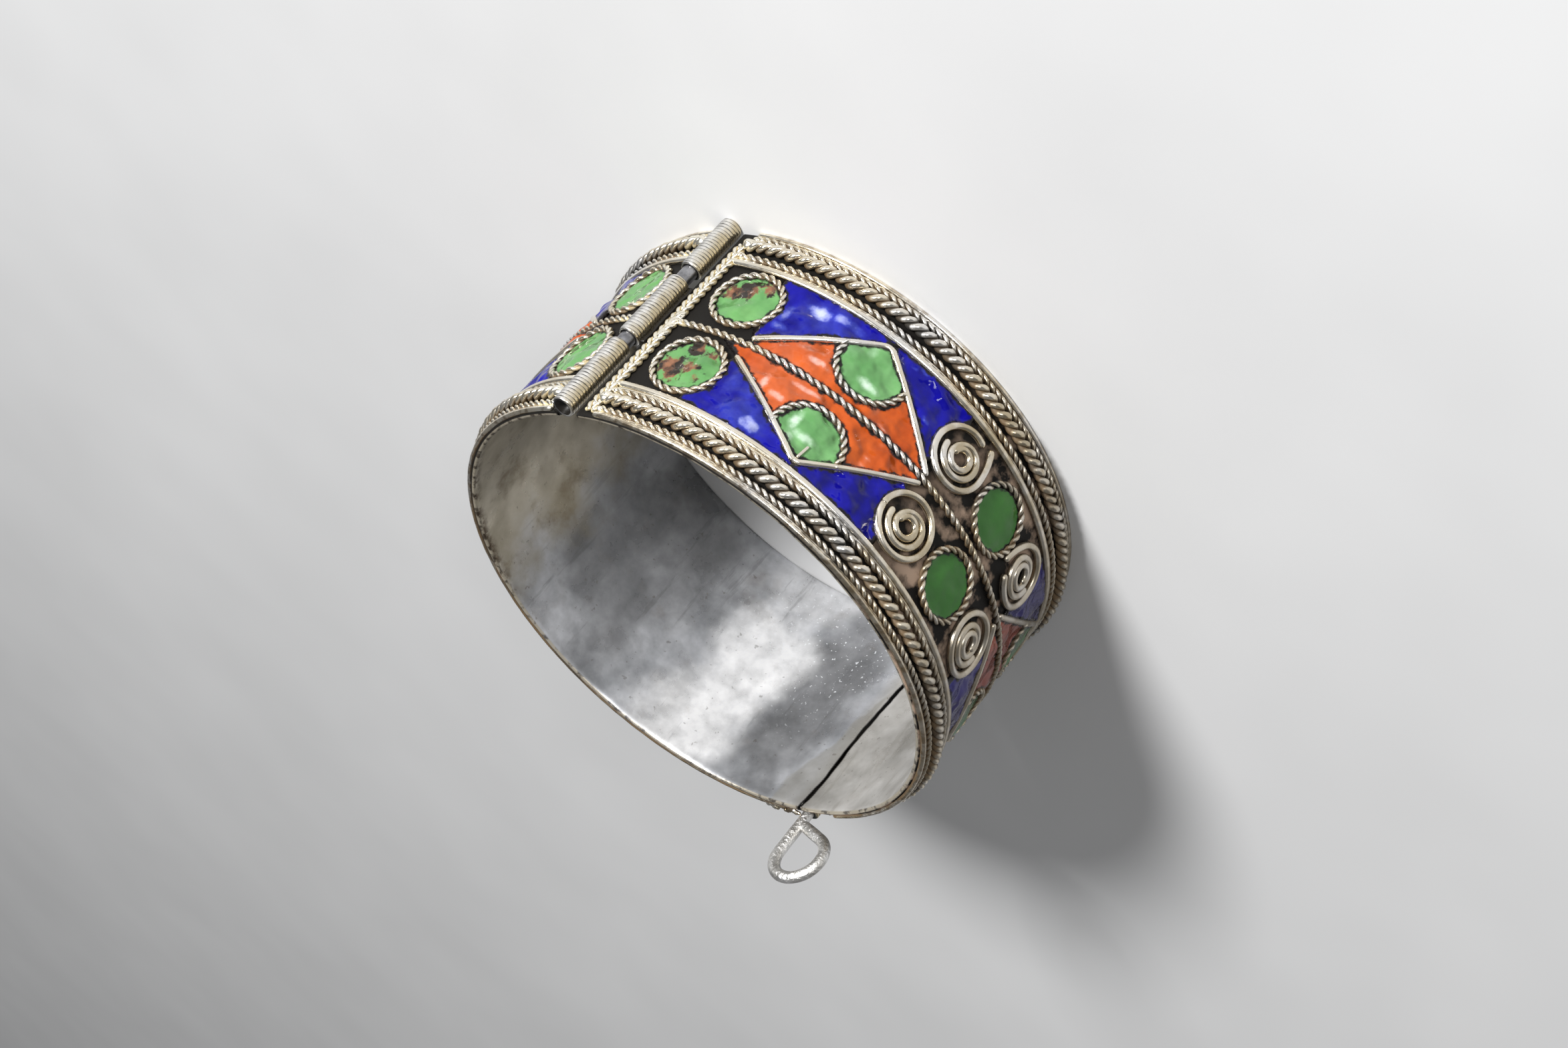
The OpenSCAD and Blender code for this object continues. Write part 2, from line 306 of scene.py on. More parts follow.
def twist(shape, line, diameter, lead, hand, closed=False, sides=8, start=0.0, thinner=1.0):
    """Adds two strands wound round each other along a line that lies on the band.

    thinner is the thickness of the second strand as a share of the first.
    """
    length = evenly(line, 2, closed)[1]
    turns = length / lead
    if closed:
        turns = round(turns)
    count = int(round(turns * RINGS_PER_LEAD)) + (0 if closed else 1)
    line = evenly(line, count, closed)[0]
    outward = radial(line)
    side, top = across_wire(line, outward, closed)
    share = np.arange(count) / (count if closed else count - 1)
    for strand, thickness in enumerate((1.0, thinner)):
        angle = (hand * TAU * turns * share + strand * math.pi + start)[:, None]
        away = np.cos(angle) * side + np.sin(angle) * top
        path = line + STRAND_OFFSET * diameter * away
        radius = STRAND_SHARE * diameter * thickness
        sweep(shape, path, away, radius, sides, closed, line, outward, diameter / 2)


def row_centres():
    """Heights of the border wires' middles above their own rim."""
    edge = 0.0
    centres = []
    for gap, diameter, _, _ in BORDER_ROWS:
        centres.append(edge + gap + diameter / 2)
        edge += gap + diameter
    return centres


ROW_CENTRES = row_centres()
STRIP_UP = MID_Z - ROW_CENTRES[-1]


def round_the_wrist(half, up, diameter, seed):
    """The line of a border wire, from one end of its reach to the other, not quite straight."""
    reach = half.reach * ORNAMENT_R
    along = np.linspace(-reach, reach, 260)
    line = half.place(along, up, diameter / 2 - SINK)
    line[:, 2] += 0.035 * ripple(line, 9.0, seed)
    return line


# The innermost border wire is hammered flat: its width over its height, and how far it has
# spread toward the rim
STRIP_ROW = 4
STRIP_FLAT = 1.3
STRIP_SHIFT = 0.1
# Solder in the grooves between border wires: distance from the rim, height over the sheet
FILLETS = ((ROW_CENTRES[3] + 0.56, 0.16), (ROW_CENTRES[0] + 0.42, 0.12))
FILLET_R = 0.25


def add_border(shape, half, level, seed):
    for row, (_, diameter, lead, hand) in enumerate(BORDER_ROWS):
        up = level * (MID_Z - ROW_CENTRES[row])
        line = round_the_wrist(half, up, diameter, seed + row)
        if row == STRIP_ROW:
            line[:, 2] = MID_Z + up + level * STRIP_SHIFT
            sweep(shape, line, radial(line), diameter / 2 - 0.02, 14, flat=STRIP_FLAT)
        elif lead is None:
            line[:, 2] = MID_Z + up
            bumps = diameter / 2 * (1 - 0.03 + 0.03 * ripple(line, 2.6, seed + 20))
            sweep(shape, line, radial(line), np.minimum(bumps, diameter / 2), 14)
        elif diameter > THIN_D:
            twist(shape, line, diameter, lead, hand, sides=10, start=seed, thinner=0.86)
        else:
            twist(shape, line, diameter, lead, hand, start=seed)
    for from_rim, height in FILLETS:
        line = round_the_wrist(half, level * (MID_Z - from_rim), 2 * (height + SINK), seed + 9)
        swelling = FILLET_R + 0.04 * ripple(line, 3.0, seed + 11)
        sweep(shape, line, radial(line), swelling, 8)


def add_centre_wire(shape, half):
    line = round_the_wrist(half, 0, THIN_D, 31)
    twist(shape, line, THIN_D, THIN_LEAD, RIGHT_HANDED)


def circle_line(half, centre, radius, height, start=0.0, sweep_angle=TAU, count=72, flare=0.0):
    """A circle or an arc bent on the band. flare widens its last part."""
    angle = start + np.linspace(0, sweep_angle, count)
    share = np.linspace(0, 1, count)
    r = radius + flare * np.clip((share - 0.85) / 0.15, 0, 1) ** 2
    return half.place(centre[0] + r * np.cos(angle), centre[1] + r * np.sin(angle), height)


def add_ring(shape, half, centre, seed):
    line = circle_line(half, centre, RING_R, THIN_D / 2 - SINK)[:-1]
    twist(shape, line, THIN_D, THIN_LEAD, RIGHT_HANDED, closed=True, start=seed)


def left_of(direction):
    return np.array([-direction[1], direction[0]]) / np.linalg.norm(direction)


def crossing(centre, radius, p, q):
    """Angle at the centre to the middle of the chord that line p-q cuts, and half its width."""
    normal = left_of(q - p)
    distance = (p - centre) @ normal
    middle = math.atan2(normal[1], normal[0]) + (math.pi if distance < 0 else 0)
    return middle, math.acos(abs(distance) / radius)


def rhombus_points(half, level):
    """Inner tip, bend and outer tip of a rhombus wire, in the quarter where both are positive."""
    places = (RHOMBUS_INNER, RHOMBUS_BEND, RHOMBUS_OUTER[level])
    return [half.on_band(*place) for place in places]


def add_part_ring(shape, half, side, level):
    inner, bend, outer = rhombus_points(half, level)
    centre = half.on_band(*PART_RING_AT[level])
    to_inner = crossing(centre, PART_RING_R, inner, bend)
    to_outer = crossing(centre, PART_RING_R, bend, outer)
    start = to_inner[0] + to_inner[1]
    end = to_outer[0] - to_outer[1] + TAU
    angle = np.linspace(start, end, 60)
    along = side * (centre[0] + PART_RING_R * np.cos(angle))
    up = level * (centre[1] + PART_RING_R * np.sin(angle))
    line = half.place(along, up, THIN_D / 2 - SINK)
    twist(shape, line, THIN_D, THIN_LEAD, RIGHT_HANDED, start=side + level)


def filleted(points, radius, count=9):
    """A polyline through three points with its corner rounded, and points along its sides."""
    a, b, c = points
    to_a = (a - b) / np.linalg.norm(a - b)
    to_c = (c - b) / np.linalg.norm(c - b)
    half_angle = math.acos(np.clip(to_a @ to_c, -1, 1)) / 2
    inward = (to_a + to_c) / np.linalg.norm(to_a + to_c)
    centre = b + inward * radius / math.sin(half_angle)
    first = b + to_a * radius / math.tan(half_angle) - centre
    last = b + to_c * radius / math.tan(half_angle) - centre
    share = np.linspace(0, 1, count)[:, None]
    arc = first * (1 - share) + last * share
    arc = centre + radius * arc / np.linalg.norm(arc, axis=1, keepdims=True)
    into = a + (arc[0] - a) * np.linspace(0, 1, 30)[:-1, None]
    out = arc[-1] + (c - arc[-1]) * np.linspace(0, 1, 30)[1:, None]
    return np.concatenate([into, arc, out])


def add_rhombus_wire(shape, half, side, level):
    flat = filleted(rhombus_points(half, level), RHOMBUS_BEND_R)
    line = half.place(side * flat[:, 0], level * flat[:, 1], RHOMBUS_D / 2 - SINK)
    line = evenly(line, 110)[0]
    bumps = RHOMBUS_D / 2 * (0.97 + 0.03 * ripple(line, 3.0, 50 + side + 3 * level))
    sweep(shape, line, radial(line), bumps, 12)


# Outer rings of the spirals by side and level: where they start, how far they go, and how
# far their end is bent out
SPIRAL_RINGS = {
    (1, UPPER): (math.radians(6), math.radians(354), 0.0),
    (1, LOWER): (math.radians(-105), math.radians(340), 0.9),
    (-1, UPPER): (math.radians(150), math.radians(356), 0.0),
    (-1, LOWER): (math.radians(48), math.radians(330), 0.8),
}

# Half circles of a coil from outside in: radius and how far its middle is shifted.
# The last one closes the innermost turn round a hole.
COIL_ARCS = ((2.4, 0.0), (1.9, -0.5), (1.4, 0.0), (1.2, -0.2))


def coil_line(half, centre, side, height):
    """A coil's middle line, from its outer end to its middle."""
    parts = []
    for k, (radius, shift) in enumerate(COIL_ARCS):
        angle = math.pi * (k + np.arange(25) / 25)
        along = centre[0] + side * (shift + radius * np.cos(angle))
        up = centre[1] + radius * np.sin(angle)
        parts.append(half.place(along, up, height))
    return np.concatenate(parts)


def add_spiral(shape, half, side, level):
    place = half.on_band(side * SPIRAL_AT[0], level * SPIRAL_AT[1])
    height = THIN_D / 2 - SINK
    start, reach, flare = SPIRAL_RINGS[side, level]
    ring = circle_line(half, place, SPIRAL_R, height, start, reach, 90, flare)
    ring = evenly(ring, 100)[0]
    sweep(shape, ring, radial(ring), THIN_D / 2, 12)
    coil = evenly(coil_line(half, place, side, height), 96)[0]
    sweep(shape, coil, radial(coil), THIN_D / 2, 12)


def add_twin_wires(shape, half):
    for side in SIDES:
        for n, along in enumerate(TWIN_ALONG):
            up = np.linspace(TWIN_Z[0], TWIN_Z[1], 60) - MID_Z
            line = half.place(side * along, up, THIN_D / 2 - SINK)
            line += 0.02 * ripple(line, 7.0, 60 + n)[:, None]
            hand = RIGHT_HANDED if n == 0 else LEFT_HANDED
            twist(shape, line, THIN_D, THIN_LEAD, hand, start=n)


def blob(shape, centre, size, seed, outward, rows=9, columns=14):
    """An uneven lump of solder. size is along the band, along Z and away from the sheet."""
    latitude = np.linspace(-math.pi / 2, math.pi / 2, rows + 2)[1:-1, None]
    longitude = np.arange(columns) * TAU / columns
    local = round_axis(np.cos(latitude), longitude, np.sin(latitude)).reshape(-1, 3)
    local = np.concatenate([local, [[0, 0, -1], [0, 0, 1]]])
    local *= (1 - 0.12 + 0.12 * np.clip(ripple(local, 1.6, seed), -1, 1))[:, None]
    away = unit(outward)
    across = unit(np.cross([0, 0, 1], away))
    directions = np.stack([across, [0, 0, 1], away])
    points = centre + (local * np.array(size) / 2) @ directions
    add_capped(shape, points[:-2], points[-2:], columns)


def add_wire_end_solder(shape, half):
    """Solder that holds the ends of the border wires and of the centre wire."""
    ends = []
    for level in LEVELS:
        ends += [(level * (MID_Z - centre), row) for row, centre in enumerate(ROW_CENTRES)]
    ends.append((0.0, 1))
    for side in SIDES:
        for n, (up, row) in enumerate(ends):
            diameter = BORDER_ROWS[row][1]
            along = side * half.reach * ORNAMENT_R
            centre = half.place(along, up, diameter / 2 - 0.15)
            size = (diameter * 1.25, diameter * 0.98, diameter * 0.98)
            blob(shape, centre, size, 70 + n, radial(centre))


def add_solder_patch(shape):
    """The flattened patch of solder on the twin wires at the hinge."""
    along = sum(TWIN_ALONG) / 2
    lumps = ((0.35, 1.9, 3.4), (2.2, 1.5, 2.4), (-1.0, 1.4, 1.8))
    for n, (up, width, length) in enumerate(lumps):
        centre = FRONT.place(along - 0.1 * n, up, THIN_D / 2 - SINK)
        blob(shape, centre, (width, length, 0.98), 90 + n, radial(centre), 11, 20)


def add_wire_stub(shape):
    """A stray end of wire beside the part circle that is nearer to the camera."""
    path = FRONT.place(np.linspace(22.8, 23.0, 6), np.linspace(7.3, 8.9, 6), 0.5)
    sweep(shape, path, radial(path), 0.2, 8)


def add_rim_crumbs(shape):
    """Ragged bits of solder under the back half's near rim, beside the clasp."""
    for n, angle in enumerate(np.linspace(-9, -0.5, 15)):
        radius = R_OUT + 0.62 + 0.22 * math.sin(5 * n)
        centre = round_axis(radius, math.radians(angle), BAND_H - 0.25)
        size = 0.62 + 0.16 * math.sin(7 * n)
        blob(shape, centre, (size * 1.3, size, size), 200 + n, radial(centre))


# Ribs of the tubes of hinge and clasp
RIB_PITCH = 0.46
RIB_DEPTH = 0.045
TUBE_SIDES = 40


def add_ribbed_tube(shape, centre, low, high, outer_d, bore):
    """A tube whose outside is ribbed by a fine, slightly slanted groove."""
    rows = int((high - low) / RIB_PITCH * 8) + 1
    z = np.linspace(low, high, rows)[:, None]
    turn = np.arange(TUBE_SIDES) * TAU / TUBE_SIDES
    wave = np.abs(np.sin(math.pi * (z / RIB_PITCH - turn / TAU)))
    radius = outer_d / 2 - RIB_DEPTH * (1 - wave ** 0.7)
    radius = radius - 0.1 * np.exp(-np.minimum(z - low, high - z) / 0.12)
    outside = round_axis(radius, turn, z)
    inside = round_axis(bore / 2, turn, np.array([[high], [low]]))
    points = np.concatenate([outside, inside]) + [*centre, 0]
    rise = np.concatenate([wave + 0.15, np.zeros((2, TUBE_SIDES))]).reshape(-1)
    shape.add(points, grid_faces(rows + 2, TUBE_SIDES, True, True), value=rise)


def toward_corners(wave):
    """A sine or cosine pushed toward 1 and -1, which makes an ellipse a soft rectangle."""
    return np.sign(wave) * np.abs(wave) ** 0.45


def add_bar(shape, low, high, seed):
    """A web of solder between a tube and the sheet, with soft uneven edges."""
    low = np.array(low, float)
    high = np.array(high, float)
    columns = 16
    turn = np.arange(columns) * TAU / columns
    half_size = (high - low) / 2
    middle = (high + low) / 2
    x = middle[0] + half_size[0] * toward_corners(np.cos(turn))
    y = middle[1] + half_size[1] * toward_corners(np.sin(turn))
    z = np.linspace(low[2], high[2], int((high[2] - low[2]) / 0.25) + 1)
    points = points_at(x, y, z[:, None]).reshape(-1, 3)
    shift = 0.06 * ripple(points, 1.5, seed)
    points[:, 0] -= np.abs(shift) * np.sign(points[:, 0] - middle[0])
    ends = points_at(middle[0], middle[1], np.array([low[2], high[2]]))
    # The web keeps 0, which the barrel material paints black: painted shade between tube and sheet
    add_capped(shape, points, ends, columns, 0.0)


# The clasp's seam runs at a slant: its angle in degrees at the top rim, its change per
# millimetre down, and how far each sheet stays from it at the low rim and at the top rim
SEAM_TOP = 1.2
SEAM_SLANT = 0.13
SEAM_GAP = (0.08, 0.32)
# A ridge inside the back half runs from the top rim to the seam: its angle in degrees at that
# rim, and its change per millimetre down
RIDGE_TOP = -8.7
RIDGE_SLANT = 0.555
# Gap between the sheets at the hinge, and the angle from there to either one's end in degrees
HINGE_GAP = 3.1
HINGE_SEAM = math.degrees(math.asin(HINGE_GAP / 2 / R_IN))


def sheet_ends(half, z):
    """Angles in degrees where the half's sheet begins and ends at heights z."""
    seam = SEAM_TOP + SEAM_SLANT * (BAND_H - z) + 0.06 * np.sin(1.9 * z) + 0.05 * np.sin(4.7 * z)
    gap = np.interp(z, (0, BAND_H), SEAM_GAP) * (1 + 0.25 * np.sin(1.1 * z))
    if half is FRONT:
        return seam + gap, np.full_like(z, 180 - HINGE_SEAM)
    return np.full_like(z, 180 + HINGE_SEAM), 360 + seam - gap


def ridge(angle, z):
    """Height of the faint ridge inside the back half: steep on one side, long on the other."""
    at = 360 + RIDGE_TOP + RIDGE_SLANT * (BAND_H - z) + 0.5 * np.sin(0.9 * z)
    distance = np.radians(angle - at) * R_IN
    return 0.22 / (1 + np.exp(-distance / 0.2)) * np.exp(-np.clip(distance, 0, None) / 3.0)


# The sheet's mesh: steps up each side, rows round the wrist, and rounding of its rims
SHEET_STEPS = 48
SHEET_ROWS = 300
RIM_ROUND = 0.16


def sheet_section():
    """Heights and depths in the sheet of the points round its section, from the low inner rim."""
    heights = np.linspace(RIM_ROUND, BAND_H - RIM_ROUND, SHEET_STEPS)
    z = np.concatenate([heights, [BAND_H, BAND_H], heights[::-1], [0, 0]])
    inner = np.zeros(SHEET_STEPS)
    rim = [RIM_ROUND, SHEET_T - RIM_ROUND]
    depth = np.concatenate([inner, rim, inner + SHEET_T, rim[::-1]])
    return z, depth


def sheet_end_faces(first, facing_back):
    """Faces that close an end of the sheet, whose section starts at the point numbered first."""
    steps = SHEET_STEPS
    last = first + 2 * steps + 1
    top = [first + steps + k for k in (-1, 0, 1, 2)]
    low = [first, last + 2, last + 1, last]
    faces = []
    for k in range(steps - 1):
        face = [first + k, first + k + 1, last - k - 1, last - k]
        faces.append([face[0], face[3], face[2], face[1]] if facing_back else face)
    faces.append(top[::-1] if facing_back else top)
    faces.append(low if facing_back else low[::-1])
    return faces


def add_sheet(shape, half):
    """The silver sheet: hammered inside, and even outside, where the ornament lies on it."""
    z, depth = sheet_section()
    loop = len(z)
    start, end = sheet_ends(half, z)
    angle = start + (end - start) * np.linspace(0, 1, SHEET_ROWS)[:, None]
    flat = round_axis(R_IN + depth, np.radians(angle), z).reshape(-1, 3)
    push = 0.13 * ripple(flat, 13.0, 5, 9) + 0.05 * ripple(flat, 5.5, 6, 9)
    if half is BACK:
        push -= ridge(angle.reshape(-1), flat[:, 2])
    inner = np.tile(depth < RIM_ROUND, SHEET_ROWS)
    fade = np.clip(np.minimum(flat[:, 2], BAND_H - flat[:, 2]) / 2.0, 0.15, 1)
    wave = 0.03 * (1 + np.clip(ripple(flat, 7.0, 8), -1, 1))
    rim = np.tile((z == 0) | (z == BAND_H), SHEET_ROWS)
    toward = np.where(flat[:, 2] > MID_Z, -1.0, 1.0)
    flat[:, 2] += rim * toward * wave
    flat += radial(flat) * (inner * fade * push)[:, None]
    walls = grid_faces(SHEET_ROWS, loop, False, True)[:, ::-1]
    closing = sheet_end_faces(0, True) + sheet_end_faces((SHEET_ROWS - 1) * loop, False)
    # Both end rows keep 0, which the sheet material paints black: painted shade in the gaps at the hinge
    # and the seam, with dirt along the seam
    clear_of_seam = np.ones((SHEET_ROWS, loop))
    clear_of_seam[[0, -1]] = 0
    shape.add(flat, walls, np.array(closing), value=clear_of_seam.reshape(-1))


class Field:
    """An enamel field: a convex outline drawn from the middles of its wires, and circles.

    inside and outside are each a circle's centre and radius, or None.
    """

    def __init__(self, outline=None, inside=None, outside=None):
        self.outline = outline
        self.inside = inside
        self.outside = outside

    def depth(self, along, up):
        """Distance from the middle of the nearest wire, positive inside the field."""
        point = np.stack([along, up], axis=-1)
        found = np.full(along.shape, 1e3)
        if self.outline is not None:
            corners = np.array(self.outline)
            centre = corners.mean(axis=0)
            for a, b in zip(corners, np.roll(corners, -1, axis=0)):
                normal = left_of(b - a)
                if (centre - a) @ normal < 0:
                    normal = -normal
                found = np.minimum(found, (point - a) @ normal)
        if self.inside:
            centre, radius = self.inside
            found = np.minimum(found, radius - np.linalg.norm(point - centre, axis=-1))
        if self.outside:
            centre, radius = self.outside
            found = np.minimum(found, np.linalg.norm(point - centre, axis=-1) - radius)
        return found

    def box(self):
        """The lowest and the highest corner round the field."""
        if self.outline is not None:
            corners = np.array(self.outline)
            return corners.min(axis=0), corners.max(axis=0)
        centre, radius = self.inside
        return centre - radius, centre + radius


# The glaze's grid, how far it reaches past the middles of its wires, and the heights over the
# sheet of its bottom and of its thinnest and thickest places
GLAZE_STEP = 0.24
GLAZE_REACH = 0.12
GLAZE_BOTTOM = -0.05
GLAZE_THIN = 0.12
GLAZE_THICK = 0.62


def glaze_height(along, up, depth, glaze, seed):
    """Height of a pool of enamel: domed, lumpy, and drawn up along its wires."""
    flat = points_at(along, up, seed * 7.0)
    dome = 1 - np.exp(-depth / 1.1)
    lumps = glaze.lumps * ripple(flat, glaze.lump_size, seed) + 0.018 * ripple(flat, 1.3, seed + 1)
    height = glaze.level + glaze.swell * dome + lumps * np.clip(depth / 0.9, 0, 1)
    height = height + 0.1 * np.exp(-((depth - 0.42) / 0.24) ** 2)
    return np.clip(height, GLAZE_THIN, GLAZE_THICK)


def add_glaze(shape, half, field, side, level, glaze, seed):
    """A pool of enamel between its wires."""
    low, high = field.box()
    along, up = np.meshgrid(
        np.arange(low[0], high[0] + GLAZE_STEP, GLAZE_STEP),
        np.arange(low[1], high[1] + GLAZE_STEP, GLAZE_STEP),
        indexing="ij",
    )
    depth = field.depth(along, up)
    keep = np.minimum.reduce([depth[:-1, :-1], depth[1:, :-1], depth[1:, 1:], depth[:-1, 1:]])
    faces = grid_faces(*along.shape)[(keep > -GLAZE_REACH).reshape(-1)]
    used, index = np.unique(faces, return_inverse=True)
    faces = index.reshape(faces.shape)
    along = along.reshape(-1)[used]
    up = up.reshape(-1)[used]
    depth = np.clip(depth.reshape(-1)[used], 0, None)
    height = glaze_height(along, up, depth, glaze, seed)
    top = half.place(side * along, level * up, height)
    bottom = half.place(side * along, level * up, GLAZE_BOTTOM)
    count = len(along)
    if side * level < 0:
        faces = faces[:, ::-1]
    edges = dict.fromkeys((a, b) for face in faces.tolist() for a, b in zip(face, face[1:] + face[:1]))
    rim = [(a, b) for a, b in edges if (b, a) not in edges]
    walls = np.array([[b, a, a + count, b + count] for a, b in rim])
    values = np.concatenate([depth, np.zeros(count)])
    shape.add(np.concatenate([top, bottom]), faces, faces[:, ::-1] + count, walls, value=values)


def across(p, q, up):
    """Distance along the band at which the line through p and q has height up."""
    return p[0] + (up - p[1]) * (q[0] - p[0]) / (q[1] - p[1])


# Corners of the blue fields along the band and up: how far the end corner reaches past the
# rhombus's tip, its far corner beside the disc, and the near corners of the one at the spiral
PAST_TIP = (0.3, -0.18)
END_CORNER = (38, 5)
SPIRAL_CORNER = (10.5, 3.5)
SPIRAL_CORNER_NEAR = 12


def rhombus_outline(half, level):
    inner, bend, outer = rhombus_points(half, level)
    return [[across(inner, bend, 0), 0], [across(bend, outer, 0), 0], bend]


def end_corner(half, level):
    """Outline of the corner between a rhombus and the border, toward the end disc."""
    _, bend, outer = rhombus_points(half, level)
    right, low = half.on_band(*END_CORNER)
    return [
        [across(bend, outer, STRIP_UP), STRIP_UP],
        outer + PAST_TIP,
        [right, low],
        [right, STRIP_UP],
    ]


def spiral_corner(half, level):
    """Outline of the corner between a rhombus and the border, toward the spiral."""
    inner, bend, _ = rhombus_points(half, level)
    near = SPIRAL_CORNER_NEAR * half.stretch
    slope = (bend[1] - inner[1]) / (bend[0] - inner[0])
    left, low = half.on_band(*SPIRAL_CORNER)
    return [
        [near, inner[1] + (near - inner[0]) * slope],
        [across(inner, bend, STRIP_UP), STRIP_UP],
        [left, STRIP_UP],
        [left, low],
    ]


def finish_piece(name, shape, material, body, replaced):
    """Makes the gathered forms one mesh object that rides on a body and replaces a node."""
    mesh = bpy.data.meshes.new(name)
    points = np.concatenate(shape.points) * MM
    mesh.from_pydata(points.tolist(), [], shape.faces)
    mesh.materials.append(material)
    mesh.polygons.foreach_set("use_smooth", [True] * len(mesh.polygons))
    clearance = mesh.attributes.new("clearance", "FLOAT", "POINT")
    clearance.data.foreach_set("value", np.concatenate(shape.values).astype(np.float32))
    mesh.update()
    piece = bpy.data.objects.new(name, mesh)
    bpy.context.scene.collection.objects.link(piece)
    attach(piece, body)
    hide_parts(replaced)


# Materials


def connect(tree, socket, value):
    """Links a value to a socket, or sets the socket. A colour is given as three shares."""
    if isinstance(value, Value):
        tree.links.new(value.socket, socket)
    elif socket.type == "RGBA":
        socket.default_value = (*value, 1.0)
    else:
        socket.default_value = value


def add_node(tree, kind, inputs=None, output=0, **settings):
    """The value of a new shader node, with its settings and its inputs set or linked."""
    made = tree.nodes.new("ShaderNode" + kind)
    for key, value in settings.items():
        setattr(made, key, value)
    for key, value in (inputs or {}).items():
        connect(tree, made.inputs[key], value)
    return Value(tree, made.outputs[output])


class Value:
    """A number or a colour that differs from place to place on a material."""

    def __init__(self, tree, socket):
        self.tree = tree
        self.socket = socket

    def math(self, operation, other=0.0):
        return add_node(self.tree, "Math", {0: self, 1: other}, operation=operation)

    def __add__(self, other):
        return self.math("ADD", other)

    def __sub__(self, other):
        return self.math("SUBTRACT", other)

    def __mul__(self, other):
        return self.math("MULTIPLY", other)

    def __truediv__(self, other):
        return self.math("DIVIDE", other)

    def fit(self, low, high, to_low=0.0, to_high=1.0, smooth=False):
        """The range from low to high brought to another range, and kept within it."""
        inputs = {"Value": self, "From Min": low, "From Max": high, "To Min": to_low, "To Max": to_high}
        kind = "SMOOTHSTEP" if smooth else "LINEAR"
        return add_node(self.tree, "MapRange", inputs, interpolation_type=kind)

    def mix(self, a, b):
        """Colour a where the value is 0, and colour b where it is 1."""
        return add_node(self.tree, "Mix", {0: self, 6: a, 7: b}, 2, data_type="RGBA")


class Look:
    """A material in the making. Its places are in millimetres, toward the clasp, the front and up."""

    def __init__(self, name):
        self.material = bpy.data.materials.new(name)
        self.material.use_nodes = True
        self.tree = self.material.node_tree

    def node(self, kind, inputs=None, output=0, **settings):
        return add_node(self.tree, kind, inputs, output, **settings)

    @cached_property
    def metres(self):
        return self.node("TexCoord", output="Object")

    @cached_property
    def place(self):
        return self.node("VectorMath", {0: self.metres, "Scale": 1 / MM}, operation="SCALE")

    @cached_property
    def east(self):
        return self.node("SeparateXYZ", {0: self.place}, 0)

    @cached_property
    def north(self):
        return self.node("SeparateXYZ", {0: self.place}, 1)

    @cached_property
    def up(self):
        return self.node("SeparateXYZ", {0: self.place}, 2)

    @cached_property
    def angle(self):
        """Angle round the wrist in radians, from the clasp over the front."""
        return self.north.math("ARCTAN2", self.east)

    @cached_property
    def off_axis(self):
        """Distance from the wrist's axis."""
        flat = self.node("VectorMath", {0: self.place, 1: (1, 1, 0)}, operation="MULTIPLY")
        return self.node("VectorMath", {0: flat}, "Value", operation="LENGTH")

    @cached_property
    def kept(self):
        """The value kept at the mesh's points: how far they stand out, or their depth in a field."""
        return self.node("Attribute", output="Fac", attribute_name="clearance")

    def grain(self, size, detail=3.0, roughness=0.55, stretch=None):
        """Noise from 0 to 1 with features of a size, fixed to the object."""
        point = self.metres
        if stretch is not None:
            point = self.node("Mapping", {"Vector": point, "Scale": stretch})
        inputs = {"Vector": point, "Scale": 1 / (size * MM), "Detail": detail, "Roughness": roughness}
        return self.node("TexNoise", inputs)

    def bump(self, height, strength, distance):
        inputs = {"Height": height, "Strength": strength, "Distance": distance * MM}
        return self.node("Bump", inputs)

    def near_rims(self, reach):
        """1 at both rims of the band, falling to 0 at a reach from them."""
        from_middle = (self.up - MID_Z).math("ABSOLUTE")
        return from_middle.fit(MID_Z - reach, MID_Z - 0.1)

    def clasp_side(self, start, full, beyond):
        """A share that rises from start to full toward the clasp, and then falls to beyond: where painted
        shade darkens the clasp side.
        """
        return self.east.fit(start, full) * self.east.fit(19, 25, 1.0, beyond)

    def zone(self, direction, up, wide, high, uneven, core=0.1):
        """A soft-edged, uneven spot on the band: 1 in its middle, at an angle and a height.

        direction and wide are in degrees round the wrist.
        """
        across = (self.angle - math.radians(direction)) / math.radians(wide)
        along = (self.up - up) / high
        return (across * across + along * along + uneven).fit(core, 1.5, 1.0, 0.0, smooth=True)

    def shaded(self, tone, roughness, normal=None, metallic=0.0, specular=0.5):
        """The material, with its shader set."""
        inputs = {
            "Base Color": tone,
            "Roughness": roughness,
            "Metallic": metallic,
            "Specular IOR Level": specular,
        }
        if normal is not None:
            inputs["Normal"] = normal
        shader = self.tree.nodes["Principled BSDF"]
        for name, value in inputs.items():
            connect(self.tree, shader.inputs[name], value)
        return self.material


